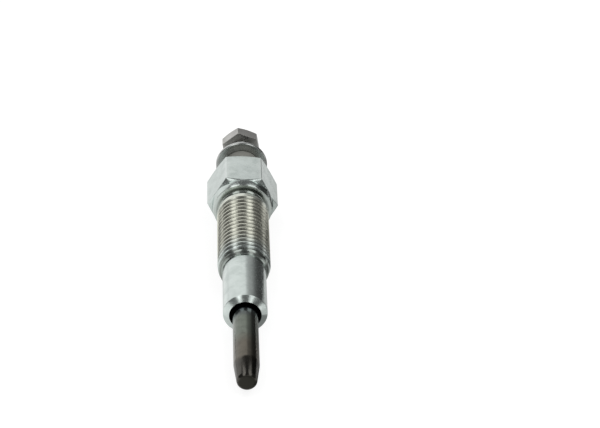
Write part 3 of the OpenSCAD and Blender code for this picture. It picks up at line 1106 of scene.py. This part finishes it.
def add_card(name, size, place, turn, tone):
    """A dark card that lies on the paper beside the plug, in millimetres and degrees."""
    size = [side * MM for side in size]
    place = [part * MM for part in (*place, CARD_LIFT)]
    material = glow_material(name + "_cloth", tone)
    show_to_metal_only(add_sheet(name, size, place, (0, 0, math.radians(turn)), material))


def add_lamp(name, side, power):
    """A long soft lamp overhead, turned towards the plug; side is -1 on the left and 1 on the right."""
    across, back, height = LAMP_PLACE
    bpy.ops.object.light_add(
        type="AREA", location=(side * across, back, height),
        rotation=(0, side * math.atan2(across, height), side * LAMP_SPLAY))
    lamp = bpy.context.object
    lamp.name = name
    lamp.data.shape = "RECTANGLE"
    lamp.data.size, lamp.data.size_y = LAMP_SIZE
    lamp.data.energy = power
    lamp.visible_camera = False


def set_world(scene, strength):
    """A white world of the given strength."""
    world = bpy.data.worlds.new("white_studio")
    world.use_nodes = True
    background = world.node_tree.nodes["Background"]
    background.inputs["Color"].default_value = (1.0, 1.0, 1.0, 1.0)
    background.inputs["Strength"].default_value = strength
    world.cycles.sampling_method = "NONE"
    scene.world = world


def add_camera(stage):
    """The camera, placed so that the aim lands on its pixel in the picture."""
    focus = stage.lens / SENSOR * PICTURE[0]
    level_ahead = Vector((math.sin(stage.azimuth), math.cos(stage.azimuth), 0))
    ahead = level_ahead * math.cos(stage.elevation) - Vector((0, 0, math.sin(stage.elevation)))
    level = Vector((math.cos(stage.azimuth), -math.sin(stage.azimuth), 0))
    upright = level.cross(ahead)
    right = level * math.cos(stage.roll) + upright * math.sin(stage.roll)
    up = upright * math.cos(stage.roll) - level * math.sin(stage.roll)
    aim_x, aim_y = stage.aim_pixel
    offset = (right * (aim_x - PICTURE[0] / 2) - up * (aim_y - PICTURE[1] / 2)) / focus
    bpy.ops.object.camera_add(location=TIP + AXIS * stage.aim - (ahead + offset) * stage.distance)
    camera = bpy.context.object
    camera.rotation_euler = Matrix((right, up, -ahead)).transposed().to_euler()
    camera.data.sensor_width = SENSOR
    camera.data.lens = stage.lens
    camera.data.clip_start = NEAR_CLIP
    bpy.context.scene.camera = camera


class PLUG_OT_stage(bpy.types.Operator):
    """Lay the paper and the cards, hang the hood and the backdrop, and set the lamps, world and camera"""

    bl_idname = "plug.stage"
    bl_label = "Stage"

    def execute(self, context):
        stage = context.scene.plug_stage
        level = (0, 0, 0)
        upright = (math.pi / 2, 0, 0)
        add_sheet("paper_floor", FLOOR_SIZE, (0, 0, 0), level, paper_material(stage))
        add_hood(stage)
        show_to_metal_only(
            add_sheet("graded_backdrop", BACKDROP_SIZE, BACKDROP_PLACE, upright, graded_material()))
        for name, size, place, turn, tone in CARDS:
            add_card(name, size, place, turn, getattr(stage, tone))
        add_lamp("left_lamp", -1, stage.lamp_power)
        add_lamp("right_lamp", 1, stage.lamp_power)
        set_world(context.scene, stage.world_light)
        context.scene.view_settings.view_transform = "Standard"
        add_camera(stage)
        return {"FINISHED"}


OPERATORS = (
    PLUG_OT_housing,
    PLUG_OT_heater,
    PLUG_OT_rod,
    PLUG_OT_bush,
    PLUG_OT_washer,
    PLUG_OT_nut,
    PLUG_OT_inside,
    PLUG_OT_stage,
)


class PLUG_PT_sidebar(bpy.types.Panel):
    """Pieces and sizes of the glow plug"""

    bl_idname = "PLUG_PT_sidebar"
    bl_label = "Glow plug"
    bl_space_type = "VIEW_3D"
    bl_region_type = "UI"
    bl_category = "Glow plug"

    def draw(self, context):
        for operator in OPERATORS:
            self.layout.operator(operator.bl_idname)
        for name, properties in GROUPS:
            box = self.layout.box()
            box.label(text=properties.__doc__)
            for key in properties.__annotations__:
                box.prop(getattr(context.scene, name), key)


def register():
    """Registers the classes and puts the properties on the scene."""
    for name, properties in GROUPS:
        bpy.utils.register_class(properties)
        setattr(bpy.types.Scene, name, bpy.props.PointerProperty(type=properties))
    for operator in OPERATORS:
        bpy.utils.register_class(operator)
    bpy.utils.register_class(PLUG_PT_sidebar)


def unregister():
    """Takes the panel, the operators and the properties away again."""
    bpy.utils.unregister_class(PLUG_PT_sidebar)
    for operator in reversed(OPERATORS):
        bpy.utils.unregister_class(operator)
    for name, properties in reversed(GROUPS):
        delattr(bpy.types.Scene, name)
        bpy.utils.unregister_class(properties)


def main():
    """Registers the add-on, and models the plug and its stage."""
    register()
    bpy.ops.plug.housing()
    bpy.ops.plug.heater()
    bpy.ops.plug.rod()
    bpy.ops.plug.bush()
    bpy.ops.plug.washer()
    bpy.ops.plug.nut()
    bpy.ops.plug.inside()
    bpy.ops.plug.stage()


if __name__ == "__main__":
    main()
